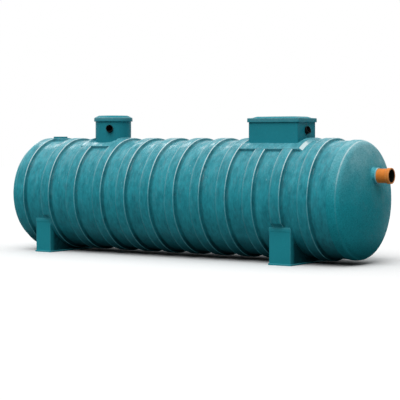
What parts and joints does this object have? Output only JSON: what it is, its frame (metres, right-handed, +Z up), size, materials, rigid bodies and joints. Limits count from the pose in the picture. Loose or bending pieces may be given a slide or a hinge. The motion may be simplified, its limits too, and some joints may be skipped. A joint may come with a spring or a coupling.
{
  "type": "underground water tank",
  "caption": "Horizontal ribbed cylindrical water tank with dished ends, a round manhole turret, a rectangular hatch turret, duct stubs, an inlet pipe and saddles.",
  "frame": {"origin": "on the floor under the middle of the whole tank", "axes": "+X along the barrel towards the inlet pipe, +Y towards the back, +Z up"},
  "size_m": [6.421, 1.75, 2.134],
  "materials": {
    "shell_gelcoat": "glossy teal gelcoat over glass-reinforced laminate, faintly streaked",
    "fitting_gelcoat": "semi-gloss teal gelcoat",
    "saddle_gelcoat": "semi-gloss teal gelcoat",
    "duct_plastic": "black duct plastic",
    "pipe_plastic": "orange-brown drain pipe"
  },
  "bodies": {
    "root": {"barrel_crown": "shell_gelcoat", "barrel_upper_back": "shell_gelcoat", "barrel_back": "shell_gelcoat", "barrel_lower_back": "shell_gelcoat", "barrel_belly": "shell_gelcoat", "barrel_lower_front": "shell_gelcoat", "barrel_front": "shell_gelcoat", "barrel_upper_front": "shell_gelcoat", "hoop_01": "shell_gelcoat", "hoop_02": "shell_gelcoat", "hoop_03": "shell_gelcoat", "hoop_04": "shell_gelcoat", "hoop_05": "shell_gelcoat", "hoop_06": "shell_gelcoat", "hoop_07": "shell_gelcoat", "hoop_08": "shell_gelcoat", "hoop_09": "shell_gelcoat", "hoop_10": "shell_gelcoat", "hoop_11": "shell_gelcoat", "hoop_12": "shell_gelcoat", "left_end_cap": "shell_gelcoat", "right_end_cap": "shell_gelcoat", "manhole_collar": "shell_gelcoat", "hatch_collar": "shell_gelcoat", "vent_collar": "shell_gelcoat", "manhole_neck_front": "fitting_gelcoat", "manhole_neck_right": "fitting_gelcoat", "manhole_neck_back": "fitting_gelcoat", "manhole_neck_left": "fitting_gelcoat", "manhole_lid": "fitting_gelcoat", "hatch_wall_front": "fitting_gelcoat", "hatch_wall_right": "fitting_gelcoat", "hatch_wall_back": "fitting_gelcoat", "hatch_wall_left": "fitting_gelcoat", "hatch_lid": "fitting_gelcoat", "vent_cap": "fitting_gelcoat", "inlet_boss": "fitting_gelcoat", "left_saddle": "saddle_gelcoat", "right_saddle": "saddle_gelcoat", "left_base_plate": "saddle_gelcoat", "right_base_plate": "saddle_gelcoat", "manhole_duct": "duct_plastic", "hatch_duct": "duct_plastic", "inlet_pipe": "pipe_plastic"}
  },
  "joints": []
}
